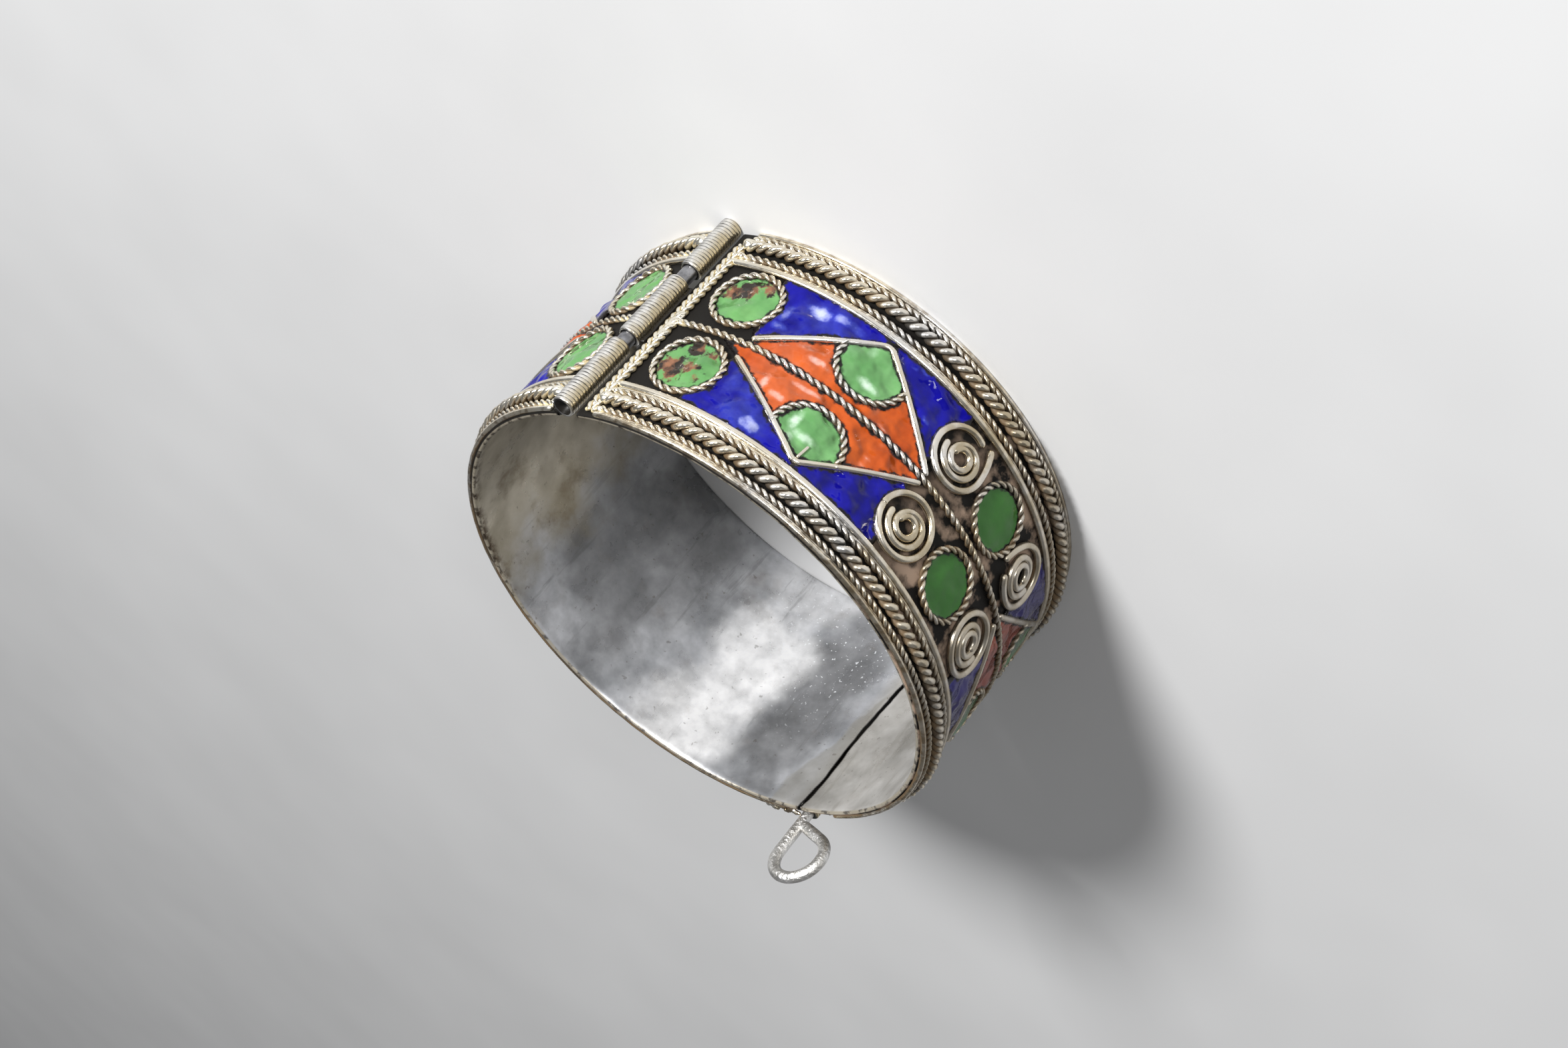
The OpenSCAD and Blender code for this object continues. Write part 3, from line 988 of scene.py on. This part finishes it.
def wire_silver():
    """Silver wire: worn bright on top, dark with oxide beside the sheet and in the twist, painted brighter
    at the hinge, and given painted shade toward the clasp.
    """
    look = Look("wire_silver")
    # Toward the hinge the wires turn more golden and are painted brighter, a painted lift out of the
    # barrel's shade
    hinge_gold_and_lift = look.east.fit(-23, -30)
    # At the twin wires by the joint, pale solder fills the lows and the tops get a painted highlight
    joint_solder_and_lift = look.north.math("ABSOLUTE").fit(6.5, 4.5) * hinge_gold_and_lift
    at_clasp = look.clasp_side(-14, 10, 0.3)
    uneven = look.grain(1.3, 4.0).fit(0.25, 0.75, -0.2, 0.2)
    patches = look.grain(8.0, 2.0).fit(0.35, 0.65, -0.12, 0.12)
    # The hinge term in raised and worn is painted light, not height or wear
    raised = look.off_axis - R_OUT + hinge_gold_and_lift * 0.14 + uneven + patches
    worn = look.kept + hinge_gold_and_lift * 0.12 + look.grain(2.0, 3.0).fit(0.3, 0.7, -0.06, 0.1)
    shine = raised.fit(0.1, 0.42, smooth=True) * worn.fit(0.55, 0.86, smooth=True)
    golden = look.grain(10.0, 3.0) + hinge_gold_and_lift * 0.12 + look.east.fit(-18, -8, 0.0, 0.07)
    golden = golden.fit(0.42, 0.62)
    low_tone = golden.mix((0.02, 0.018, 0.015), (0.12, 0.078, 0.038))
    low_tone = (joint_solder_and_lift * 0.9).mix(low_tone, (0.6, 0.5, 0.3))
    high_tone = golden.mix((0.84, 0.82, 0.79), (0.84, 0.76, 0.61))
    high_tone = joint_solder_and_lift.mix(high_tone, (0.98, 0.93, 0.8))
    bronze = look.grain(2.2, 5.0).fit(0.42, 0.58, 0.0, 0.75) * look.east.fit(-19, -11)
    high_tone = bronze.mix(high_tone, (0.46, 0.37, 0.22))
    # Toward the clasp the tops are painted darker and duller: painted shade, with some oxide
    dull = (at_clasp + uneven).fit(0, 1, 0.0, 0.6)
    high_tone = dull.mix(high_tone, (0.36, 0.32, 0.27))
    brown = look.grain(1.2, 5.0).fit(0.48, 0.6, 0.0, 0.7) * look.near_rims(0.9)
    high_tone = brown.mix(high_tone, (0.24, 0.16, 0.08))
    fine = look.grain(0.8).fit(0.3, 0.7, 0.0, 0.12)
    roughness = shine.fit(0, 1, 0.6, 0.16) + fine + at_clasp * 0.12
    normal = look.bump(look.grain(0.6, 2.0), 0.2, 0.03)
    return look.shaded(shine.mix(low_tone, high_tone), roughness, normal, shine.fit(0.0, 0.5, 0.1, 1.0))


# Painted shade and painted reflections inside the back half, dark greys being shade and bright ones
# reflections: direction, height, width, height of the spot, strength, grey
INNER_PAINTED_LIGHT = (
    (-74, 13, 24, 20, 0.6, 0.15),
    (-16, 17, 13, 21, 0.66, 0.15),
    (-50, 6, 12, 8, 0.4, 0.2),
    (-33, 15, 12, 10, 0.95, 1.0),
    (-38, 27, 14, 8, 0.95, 1.0),
    (-33, 2, 12, 6, 0.6, 0.8),
)


def bare_inside(look, cloud):
    """Colour of the hammered inside, with painted shade and painted reflections in spots, painted glint
    specks, and scratches.
    """
    silver = cloud.mix((0.34, 0.35, 0.37), (0.6, 0.61, 0.64))
    uneven = look.grain(9.0, 4.0, 0.55).fit(0.3, 0.7, -0.6, 0.6)
    for direction, up, wide, high, share, grey in INNER_PAINTED_LIGHT:
        spot = look.zone(direction, up, wide, high, uneven) * share
        silver = spot.mix(silver, (grey, grey, grey * 1.01))
    mottle = look.grain(4.0, 6.0, 0.6).fit(0.32, 0.68, 0.74, 1.18)
    silver = look.node("VectorMath", {0: silver, "Scale": mottle}, operation="SCALE")
    # Painted glints: white specks in one zone stand in for sparkling reflections of the pitted surface
    glint_specks = look.grain(0.4, 1.0).fit(0.68, 0.72, 0.0, 0.8) * look.zone(-22, 9, 22, 13, uneven)
    silver = glint_specks.mix(silver, (0.95, 0.97, 1.0))
    scratches = look.grain(2.2, 5.0, 0.7, (1.0, 1.0, 0.12)).fit(0.6, 0.66, 0.0, 0.3)
    return scratches.mix(silver, (0.12, 0.12, 0.12))


def past_ridge(look, wander):
    """1 between the ridge inside the back half and the clasp's seam."""
    top = math.radians(RIDGE_TOP)
    ridge_at = look.up.fit(0, BAND_H, top + math.radians(RIDGE_SLANT * BAND_H), top)
    past = look.angle - ridge_at + wander * 0.0075
    return past.fit(-0.008, 0.012) * look.north.fit(2, 1)


def inner_silver(look):
    """Colour of the inside: bare silver, beige at the hinge, and stained, pitted and rusty."""
    wander = look.grain(7.0, 4.0).fit(0.3, 0.7, -4, 4)
    toward_hinge = (look.east + wander).fit(3, -7, smooth=True)
    old = toward_hinge.math("MAXIMUM", look.north.fit(-1, 1.5, 0.0, 0.45))
    cloud = look.grain(7.0, 4.0, 0.55).fit(0.36, 0.64)
    silver = old.mix(bare_inside(look, cloud), cloud.mix((0.36, 0.32, 0.24), (0.6, 0.55, 0.45)))
    silver = (past_ridge(look, wander) * 0.6).mix(silver, (0.33, 0.315, 0.28))
    stain = look.grain(5.0, 6.0, 0.65).fit(0.56, 0.72) * toward_hinge.fit(0, 1, 0.2, 0.7)
    silver = stain.mix(silver, (0.17, 0.12, 0.07))
    pits = look.grain(0.8, 2.0).fit(0.68, 0.74, 0.0, 0.4)
    silver = pits.mix(silver, (0.1, 0.08, 0.06))
    rust = look.grain(1.8, 6.0, 0.7).fit(0.44, 0.56) * look.near_rims(1.5) * toward_hinge
    silver = rust.mix(silver, (0.06, 0.03, 0.014))
    dirty = look.grain(1.2, 5.0).fit(0.5, 0.6)
    top_edge = look.up.fit(BAND_H - 0.35, BAND_H - 0.15, 0.0, 0.85)
    return top_edge.mix(silver, dirty.mix((0.44, 0.39, 0.3), (0.07, 0.055, 0.04)))


def sheet_silver():
    """Silver sheet: hammered and mottled inside, dark and dirty outside between the wires."""
    look = Look("sheet_silver")
    outside = look.off_axis.fit(R_IN + 0.3, R_IN + 0.42)
    brown = look.grain(3.4, 5.0).fit(0.46, 0.6) * look.east.fit(-14, -4)
    dirt = brown.mix((0.01, 0.009, 0.008), (0.36, 0.26, 0.19))
    tone = outside.mix(inner_silver(look), dirt)
    # Painted shade: black at the sheet's ends by the hinge and the seam, with dirt along the seam
    tone = look.kept.fit(0.2, 0.9).mix((0.01, 0.009, 0.008), tone)
    roughness = look.grain(4.0, 4.0).fit(0.3, 0.7, 0.24, 0.4) + outside * 0.3
    scratches = look.grain(0.6, 4.0, 0.65) + look.grain(3.0) * 2.0
    normal = look.bump(scratches, 0.22, 0.06)
    return look.shaded(tone, roughness, normal, outside.fit(0, 1, 0.55, 0.0), 0.1)


def barrel_silver():
    """The ribbed tubes of hinge and clasp: bright, with painted shade darkening their back, golden on
    their front.
    """
    look = Look("barrel_silver")
    north = look.north + look.grain(2.0, 4.0).fit(0.3, 0.7, -0.4, 0.4)
    tone = north.fit(0.4, 1.3).mix((0.9, 0.88, 0.84), (0.6, 0.51, 0.34))
    # Painted shade: the tubes' backs are painted dark grey
    tone = north.fit(-1, 0.3, 1.0, 0.0).mix(tone, (0.18, 0.18, 0.18))
    # Dark in the rib grooves with oxide; the webs keep 0 and are painted black as painted shade between
    # tube and sheet
    dirt = look.grain(0.9, 4.0).fit(0.3, 0.7, -0.22, 0.2)
    clean_and_lit = (look.kept + dirt).fit(0.2, 0.78)
    roughness = look.grain(0.8).fit(0.3, 0.7, 0.22, 0.34)
    normal = look.bump(look.grain(0.35), 0.2, 0.03)
    return look.shaded(clean_and_lit.mix((0.012, 0.01, 0.008), tone), roughness, normal, clean_and_lit.fit(0, 1, 0.3, 1.0))


def pin_silver():
    """The clasp pin: greyish white drawn silver with fine file marks."""
    look = Look("pin_silver")
    tone = look.grain(2.4, 4.0).fit(0.35, 0.65).mix((0.66, 0.64, 0.6), (0.95, 0.94, 0.92))
    roughness = look.grain(0.9, 4.0).fit(0.3, 0.7, 0.32, 0.5)
    return look.shaded(tone, roughness, look.bump(look.grain(0.45, 4.0), 1.0, 0.2), 1.0)


def rod_steel():
    """The hinge rod: dull grey steel."""
    look = Look("rod_steel")
    tone = look.grain(1.2, 4.0).fit(0.35, 0.65).mix((0.16, 0.16, 0.17), (0.4, 0.4, 0.42))
    roughness = look.grain(0.7).fit(0.3, 0.7, 0.28, 0.5)
    return look.shaded(tone, roughness, metallic=1.0)


# Chips in the front half's two discs at the hinge: along the band, up, radius
CHIPS = (
    (40.6, -7.2, 1.2),
    (42.3, -6.2, 1.0),
    (38.8, -8.2, 0.9),
    (42.0, 6.3, 1.3),
    (40.3, 2.9, 0.8),
    (39.6, 5.8, 0.9),
    (38.2, 3.3, 0.6),
    (38.3, 6.9, 0.5),
    (41.0, 7.6, 0.9),
)


def chipped(look):
    """1 where the enamel of the discs at the hinge has come off."""
    ragged = look.grain(1.6, 6.0, 0.65).fit(0.3, 0.7, -1.0, 1.0)
    found = 0.0
    for along, up, radius in CHIPS:
        centre = tuple(FRONT.place(along, up, 0.35))
        distance = look.node("VectorMath", {0: look.place, 1: centre}, "Value", operation="DISTANCE")
        spot = (distance + ragged).fit(radius - 0.15, radius + 0.25, 1.0, 0.0)
        found = spot.math("MAXIMUM", found)
    return found


# Glints of the front half's enamel near the hinge: along the band, up, half length, half width
# and strength. The last three are wide and faint.
GLINTS = (
    (31.6, -8.3, 1.6, 0.9, 1.0),
    (28.4, -8.8, 2.0, 0.6, 0.7),
    (34.8, -5.9, 0.5, 1.2, 0.6),
    (34.4, -4.0, 1.0, 0.5, 0.5),
    (29.5, 9.1, 1.2, 0.9, 1.0),
    (34.0, 5.5, 0.9, 1.3, 0.35),
    (30.5, -3.4, 1.1, 0.6, 0.8),
    (28.3, -2.3, 1.6, 0.45, 0.9),
    (31.2, 3.3, 0.6, 1.3, 0.9),
    (29.4, 4.1, 1.2, 0.5, 0.8),
    (27.4, 1.3, 2.4, 0.4, 0.8),
    (19.8, -1.9, 0.5, 0.9, 0.4),
    (22.2, -3.8, 1.2, 0.55, 0.9),
    (24.1, -7.5, 0.6, 0.8, 0.6),
    (25.8, 5.5, 0.6, 1.2, 0.9),
    (23.8, 6.5, 1.6, 0.5, 0.7),
    (25.3, 7.7, 0.6, 0.8, 0.5),
    (30.0, -7.3, 4.0, 2.4, 0.22),
    (30.5, 0.7, 4.0, 5.0, 0.25),
    (30.5, 8.5, 3.0, 2.4, 0.25),
)
# How much longer and wider their soft edge makes them
GLINT_SPREAD = (1.15, 1.25)


def glints(look):
    """Pale shine of the lumpy enamel: 1 in the middle of a glint."""
    uneven = look.grain(1.6, 3.0).fit(0.3, 0.7, -0.55, 0.55)
    found = 0.0
    for along, up, long, wide, share in GLINTS:
        direction = math.degrees(FRONT.middle + along / ORNAMENT_R)
        long = math.degrees(long / ORNAMENT_R) * GLINT_SPREAD[0]
        spot = look.zone(direction, MID_Z + up, long, wide * GLINT_SPREAD[1], uneven, -0.7)
        found = (spot * share).math("MAXIMUM", found)
    return found


def enamel(name, deep, middle, pale, glint_share, worn=False, waves=0.8):
    """Glossy enamel with cloudy colour, painted highlights and a painted pale sheen, painted shade toward
    the clasp, darker where it meets the wires, and worn spots.
    """
    look = Look(name)
    tone = look.grain(4.5, 4.0, 0.6).fit(0.3, 0.7).mix(deep, middle)
    # Painted highlights: the glints, a pale sheen in noisy patches, and their whitish cores stand in for
    # reflections on the glaze
    sheen_streaks = look.grain(3.6, 3.0, 0.45, (1.0, 1.0, 1.5)).fit(0.66, 0.84, smooth=True)
    shine = glints(look).math("MAXIMUM", sheen_streaks) * glint_share
    tone = (shine * 0.95).mix(tone, pale)
    tone = shine.fit(0.3, 0.9, 0.0, 0.4).mix(tone, (0.85, 0.88, 0.88))
    # Painted shade: the enamel is darkened and dulled toward the clasp
    tone = (look.clasp_side(7, 14, 0.0) * 0.65).mix(tone, (0.085, 0.075, 0.09))
    uneven = look.grain(1.1, 5.0).fit(0.3, 0.7, -0.3, 0.25)
    edge = (look.kept + uneven).fit(0.4, 0.7, 1.0, 0.0, smooth=True)
    tone = edge.mix(tone, (0.01, 0.008, 0.008))
    if worn:
        spots = look.grain(1.6, 3.0).fit(0.42, 0.58)
        tone = chipped(look).mix(tone, spots.mix((0.02, 0.015, 0.012), (0.22, 0.1, 0.055)))
    roughness = look.grain(1.4, 4.0).fit(0.3, 0.7, 0.07, 0.2)
    return look.shaded(tone, roughness, look.bump(look.grain(3.0, 1.5), waves, 2.0), specular=0.25)


def light_green():
    return enamel("light_green", (0.08, 0.22, 0.07), (0.13, 0.29, 0.11), (0.4, 0.6, 0.4), 1.0)


def worn_green():
    deep = (0.08, 0.22, 0.07)
    return enamel("worn_green", deep, (0.13, 0.3, 0.1), (0.3, 0.44, 0.24), 0.3, worn=True)


def plain_green():
    deep = (0.03, 0.12, 0.02)
    return enamel("plain_green", deep, (0.045, 0.16, 0.03), (0.09, 0.22, 0.05), 0.0, waves=0.2)


def orange_red():
    return enamel("orange_red", (0.34, 0.05, 0.006), (0.47, 0.085, 0.012), (0.56, 0.22, 0.14), 0.8)


def deep_blue():
    return enamel("deep_blue", (0.0015, 0.001, 0.12), (0.004, 0.003, 0.25), (0.09, 0.13, 0.6), 1.0)


WIRE = wire_silver()
SHEET = sheet_silver()
BARREL = barrel_silver()
PIN = pin_silver()
ROD = rod_steel()

# Enamels: material, slot, height over the sheet, swelling to the middle, lumps and their size
Glaze = namedtuple("Glaze", "material slot level swell lumps lump_size")
WORN_DISC = Glaze(worn_green(), "green_enamel", 0.2, 0.14, 0.1, 4.4)
PLAIN_DISC = Glaze(plain_green(), "green_enamel", 0.2, 0.14, 0.1, 4.4)
CELL = Glaze(light_green(), "green_enamel", 0.3, 0.1, 0.25, 3.4)
ORANGE = Glaze(orange_red(), "orange_enamel", 0.26, 0.12, 0.22, 3.6)
BLUE = Glaze(deep_blue(), "blue_enamel", 0.26, 0.12, 0.22, 4.0)


# Pieces


def silver_piece(half, word, shape, material):
    finish_piece(f"{half.name}_{word}", shape, material, half.node, half.node)


def make_sheet(half):
    shape = Shape()
    add_sheet(shape, half)
    silver_piece(half, "sheet", shape, SHEET)


def make_borders(half):
    for level, word in ((UPPER, "near"), (LOWER, "far")):
        shape = Shape()
        add_border(shape, half, level, 10 + 5 * level)
        silver_piece(half, "border_" + word, shape, WIRE)


def make_field_wires(half):
    shape = Shape()
    add_centre_wire(shape, half)
    for side in SIDES:
        for level in LEVELS:
            along, up = END_DISC_AT[level]
            add_ring(shape, half, half.on_band(side * along, level * up), side + 2 * level)
            add_part_ring(shape, half, side, level)
            add_rhombus_wire(shape, half, side, level)
            add_spiral(shape, half, side, level)
    for level in LEVELS:
        add_ring(shape, half, half.on_band(0, level * MIDDLE_DISC_UP), 5 * level)
    silver_piece(half, "ornament_wires", shape, WIRE)


def make_end_wires(half):
    shape = Shape()
    add_wire_end_solder(shape, half)
    if half is FRONT:
        add_twin_wires(shape, half)
        add_solder_patch(shape)
        add_wire_stub(shape)
    else:
        add_rim_crumbs(shape)
    silver_piece(half, "end_wires", shape, WIRE)


# Lower and upper ends of the tubes of hinge and clasp
BARREL_SPANS = {"front": ((10.5, 20.2),), "back": ((0.0, 8.3), (21.7, BAND_H))}
KNUCKLE_SPANS = {"front": ((1.0, 10.5), (21.5, 31.3)), "back": ((11.0, 21.0),)}
# Webs between tubes and sheet: their reach in X, their distances in Y from the tube's axis, and
# how much shorter than the tube they are at each end
HINGE_WEB = ((-31.95, -31.05), (1.0, 1.95))
CLASP_WEB = ((R_OUT - 0.1, CLASP_AT[0] - 0.1), (0.8, 1.8))
WEB_INSET = 0.1


def add_tube_and_web(shape, half, centre, span, diameter, bore, web, seed):
    low, high = span
    add_ribbed_tube(shape, centre, low, high, diameter, bore)
    x, distances = web
    y = sorted(centre[1] + half.hinge_side * distance for distance in distances)
    add_bar(shape, (x[0], y[0], low + WEB_INSET), (x[1], y[1], high - WEB_INSET), seed)


def make_barrels(half):
    shape = Shape()
    for span in BARREL_SPANS[half.name]:
        add_tube_and_web(shape, half, (HINGE_X, 0), span, BARREL_D, BARREL_BORE, HINGE_WEB, 3)
    for span in KNUCKLE_SPANS[half.name]:
        add_tube_and_web(shape, half, CLASP_AT, span, KNUCKLE_D, KNUCKLE_BORE, CLASP_WEB, 4)
    silver_piece(half, "barrels", shape, BARREL)


# The loop is a little thicker than the shank, and its middle line lies lower by LOOP_DROP
LOOP_DROP = 0.1
LOOP_THICKER = 0.09


def make_pin():
    """One wire: a straight shank, an arc, and a straight end that comes back to the shank."""
    shape = Shape()
    end = np.array(LOOP_END)
    reach = np.linalg.norm(end)
    tangent = math.atan2(end[1], end[0]) + math.acos(LOOP_R / reach)
    arc = np.linspace(math.pi, tangent, 60)
    loop = LOOP_R * np.stack([np.cos(arc), np.sin(arc)], axis=-1)
    tail = loop[-1] + (end - loop[-1]) * np.linspace(0, 1, 14)[1:, None]
    bent = np.concatenate([loop, tail])
    x, y = CLASP_AT
    shank = points_at(x, y, np.linspace(PIN_FOOT_Z + PIN_D / 2, LOOP_Z, 60)[:-1])
    turned = points_at(x, y + LOOP_R + bent[:, 0], LOOP_Z - LOOP_DROP + bent[:, 1])
    path = evenly(np.concatenate([shank, turned]), 220)[0]
    free = np.clip((path[:, 2] - BAND_H) / 2, 0, 1)
    uneven = 0.03 * np.clip(ripple(path, 3.0, 40), -1, 1)
    thickness = PIN_D / 2 * (1 + free * (LOOP_THICKER + uneven))
    sweep(shape, path, np.array([1.0, 0, 0]), thickness, 18)
    finish_piece("pull_pin", shape, PIN, "clasp_pin", "clasp_pin")


def enamel_piece(half, word, parts, glaze, seed):
    """One enamel piece from fields given with their side and level."""
    shape = Shape()
    for n, (field, side, level) in enumerate(parts):
        add_glaze(shape, half, field, side, level, glaze, seed + n)
    node = f"{half.name}_{word}"
    finish_piece(node + "_enamel", shape, glaze.material, half.node, node)


def make_discs(half):
    places = [(side, level) for side in (1, 0, -1) for level in LEVELS]
    for number, (side, level) in enumerate(places, 1):
        place = (0, MIDDLE_DISC_UP) if side == 0 else END_DISC_AT[level]
        field = Field(inside=(half.on_band(*place), RING_R))
        glaze = PLAIN_DISC if side == 0 else WORN_DISC
        enamel_piece(half, f"green_disc_{number}", [(field, side or 1, level)], glaze, 100 + number)


def make_cells(half):
    places = [(side, level) for side in SIDES for level in LEVELS]
    for number, (side, level) in enumerate(places, 1):
        centre = half.on_band(*PART_RING_AT[level])
        field = Field(rhombus_outline(half, level), inside=(centre, PART_RING_R))
        enamel_piece(half, f"green_cell_{number}", [(field, side, level)], CELL, 120 + number)


def make_orange(half):
    for number, side in enumerate(SIDES, 1):
        parts = []
        for level in LEVELS:
            centre = half.on_band(*PART_RING_AT[level])
            parts.append((Field(rhombus_outline(half, level), outside=(centre, PART_RING_R)), side, level))
        enamel_piece(half, f"orange_{number}", parts, ORANGE, 140 + 3 * number)


def make_blue(half):
    disc_up = {level: half.on_band(*END_DISC_AT[level]) for level in LEVELS}
    spiral = half.on_band(*SPIRAL_AT)
    for number, side in enumerate(SIDES, 1):
        parts = []
        for level in LEVELS:
            parts.append((Field(end_corner(half, level), outside=(disc_up[level], RING_R)), side, level))
            parts.append((Field(spiral_corner(half, level), outside=(spiral, SPIRAL_R)), side, level))
        enamel_piece(half, f"blue_{number}", parts, BLUE, 160 + 5 * number)


for half in (FRONT, BACK):
    make_sheet(half)
    make_borders(half)
    make_field_wires(half)
    make_end_wires(half)
    make_barrels(half)
    make_discs(half)
    make_cells(half)
    make_orange(half)
    make_blue(half)
make_pin()

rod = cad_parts["hinge_rod"]
rod.data.materials.clear()
rod.data.materials.append(ROD)


# Stage: a plain pale floor, soft lights, and the camera at the photograph's angle


def floor_material():
    look = Look("floor_cloth")
    tone = look.grain(40.0, 2.0).fit(0.3, 0.7).mix((0.61, 0.61, 0.61), (0.65, 0.65, 0.65))
    return look.shaded(tone, 0.9, specular=0.1)


def make_floor():
    half_size = 4.0
    mesh = bpy.data.meshes.new("floor")
    corners = [(x * half_size, y * half_size, 0) for x, y in ((-1, -1), (1, -1), (1, 1), (-1, 1))]
    mesh.from_pydata(corners, [], [(0, 1, 2, 3)])
    mesh.materials.append(floor_material())
    floor = bpy.data.objects.new("floor", mesh)
    bpy.context.scene.collection.objects.link(floor)


def area_light(name, place, target, size, power):
    light = bpy.data.lights.new(name, "AREA")
    light.shape = "DISK"
    light.size = size
    light.energy = power
    lamp = bpy.data.objects.new(name, light)
    lamp.location = place
    lamp.rotation_mode = "QUATERNION"
    lamp.rotation_quaternion = (Vector(target) - Vector(place)).to_track_quat("-Z", "Y")
    bpy.context.scene.collection.objects.link(lamp)


def make_lights():
    """A soft lamp on the hinge side, a weaker one in front of the band, and faint light all round."""
    centre = (0, 0, 0.016)
    area_light("key", (-0.64, 0.06, 0.42), centre, 0.2, 9.0)
    area_light("front", (-0.4, 0.55, 0.3), centre, 0.2, 1.6)
    world = bpy.data.worlds.new("studio")
    world.use_nodes = True
    background = world.node_tree.nodes["Background"]
    background.inputs["Color"].default_value = (0.97, 0.98, 1.0, 1)
    background.inputs["Strength"].default_value = 0.2
    bpy.context.scene.world = world


def make_camera():
    """The camera stands where the photograph was taken from, seen from the bracelet."""
    place = Vector((-0.16632, 0.21310, 0.16972))
    forward = Vector((0.536, -0.681, -0.499)).normalized()
    right = Vector((0.400, 0.726, -0.560))
    right = (right - forward * right.dot(forward)).normalized()
    up = right.cross(forward)
    data = bpy.data.cameras.new("camera")
    data.sensor_width = 36.0
    data.lens = 60.27
    data.clip_start = 0.01
    data.clip_end = 20.0
    camera = bpy.data.objects.new("camera", data)
    turned = Matrix((right, up, -forward)).transposed()
    camera.matrix_world = Matrix.Translation(place) @ turned.to_4x4()
    bpy.context.scene.collection.objects.link(camera)
    bpy.context.scene.camera = camera


make_floor()
make_lights()
make_camera()
bpy.context.scene.view_settings.view_transform = "Standard"
